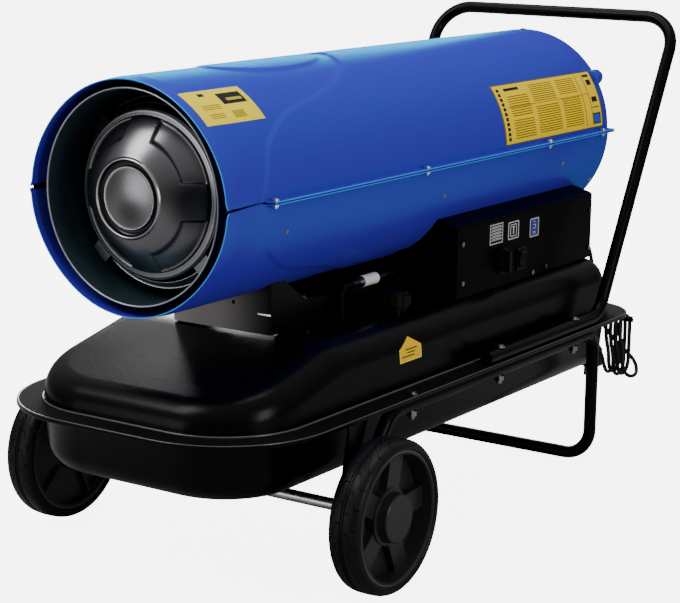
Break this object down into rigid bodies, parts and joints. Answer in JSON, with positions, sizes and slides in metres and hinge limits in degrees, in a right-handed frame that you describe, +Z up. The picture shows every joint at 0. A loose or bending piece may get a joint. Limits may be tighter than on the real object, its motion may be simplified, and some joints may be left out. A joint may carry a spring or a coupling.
{
  "type": "forced air heater",
  "caption": "Wheeled oil-fired forced air heater: a blue cylindrical barrel over a black sheet-steel fuel tank, in a tube trolley with a U-shaped handle.",
  "frame": {"origin": "middle of the bounding box, on the floor, without the mains cord", "axes": "-Y is the hot-air outlet, +Y the handle and air intake, +X the control box side, +Z up"},
  "size_m": [0.575, 1.1545, 0.6785],
  "materials": {
    "barrel_paint": "semi-gloss blue powder coat",
    "black_paint": "gloss black powder coat",
    "zinc": "bright zinc plate",
    "stainless": "pressed stainless steel, satin",
    "brass": "turned brass",
    "motor_housing": "cast and machined aluminium",
    "fan_metal": "stamped aluminium",
    "black_plastic": "moulded black plastic",
    "rim_plastic": "moulded black plastic",
    "white_plastic": "moulded white plastic",
    "board": "printed circuit board",
    "hose": "extruded black hose",
    "cord_sheath": "matte black cord sheath",
    "tyre_rubber": "matte black tyre"
  },
  "bodies": {
    "chassis": {"air_line": "hose", "air_pump": "motor_housing", "axle": "zinc", "axle_struts": "black_paint", "axle_washers": "zinc", "burner_head": "zinc", "chamber_brackets": "zinc", "combustion_chamber": "stainless", "control_board": "board", "control_box": "black_paint", "control_panel": "black_paint", "cord_gland": "black_plastic", "cord_hank": "cord_sheath", "cord_hook": "black_paint", "deflector_disc": "stainless", "disc_tabs": "stainless", "drain_plug": "zinc", "filler_neck": "black_paint", "flame_ring": "stainless", "frame_tube": "black_paint", "fuel_filter": "white_plastic", "fuel_gauge": "white_plastic", "fuel_line": "hose", "fuel_nozzle": "brass", "handle_tube": "black_paint", "ignition_electrodes": "zinc", "ignition_transformer": "black_plastic", "lower_shell": "barrel_paint", "motor": "motor_housing", "motor_bracket": "zinc", "panel_screws": "zinc", "photocell": "black_plastic", "plug": "cord_sheath", "power_cord": "cord_sheath", "pump_cover": "motor_housing", "rail_bolts": "zinc", "rail_nuts": "zinc", "rear_guard": "black_paint", "shell_flange_screws": "zinc", "shell_side_screws": "zinc", "split_pins": "zinc", "support": "black_paint", "switch_housing": "black_plastic", "tank_lower": "black_paint", "tank_upper": "black_paint", "thermostat": "black_plastic", "upper_shell": "barrel_paint"},
    "wheel_right": {"wheel_rim_right": "rim_plastic", "tyre_right": "tyre_rubber", "hub_cap_right": "rim_plastic"},
    "wheel_left": {"wheel_rim_left": "rim_plastic", "tyre_left": "tyre_rubber", "hub_cap_left": "rim_plastic"},
    "fan_rotor": {"fan": "fan_metal", "motor_shaft": "zinc"},
    "knob": {"thermostat_knob": "black_plastic"},
    "rocker": {"rocker_switch": "black_plastic"},
    "cap": {"fuel_cap": "black_plastic"}
  },
  "joints": [
    {"name": "wheel_right_spin", "type": "hinge", "parent": "chassis", "child": "wheel_right", "pos_m": [0.2645, -0.3495, 0.1], "axis": [1, 0, 0], "continuous": true},
    {"name": "wheel_left_spin", "type": "hinge", "parent": "chassis", "child": "wheel_left", "pos_m": [-0.2645, -0.3495, 0.1], "axis": [1, 0, 0], "continuous": true},
    {"name": "fan_spin", "type": "hinge", "parent": "chassis", "child": "fan_rotor", "pos_m": [0, 0.1699, 0.497], "axis": [0, 1, 0], "continuous": true},
    {"name": "thermostat_turn", "type": "hinge", "parent": "chassis", "child": "knob", "pos_m": [0.165, 0.1179, 0.341], "axis": [-1, 0, 0], "range_deg": [0, 270]},
    {"name": "switch_rock", "type": "hinge", "parent": "chassis", "child": "rocker", "pos_m": [0.158, 0.1759, 0.336], "axis": [0, -1, 0], "range_deg": [0, 18]},
    {"name": "fuel_cap_lift", "type": "slide", "parent": "chassis", "child": "cap", "axis": [0, 0, 1], "range_m": [0, 0.03]}
  ]
}
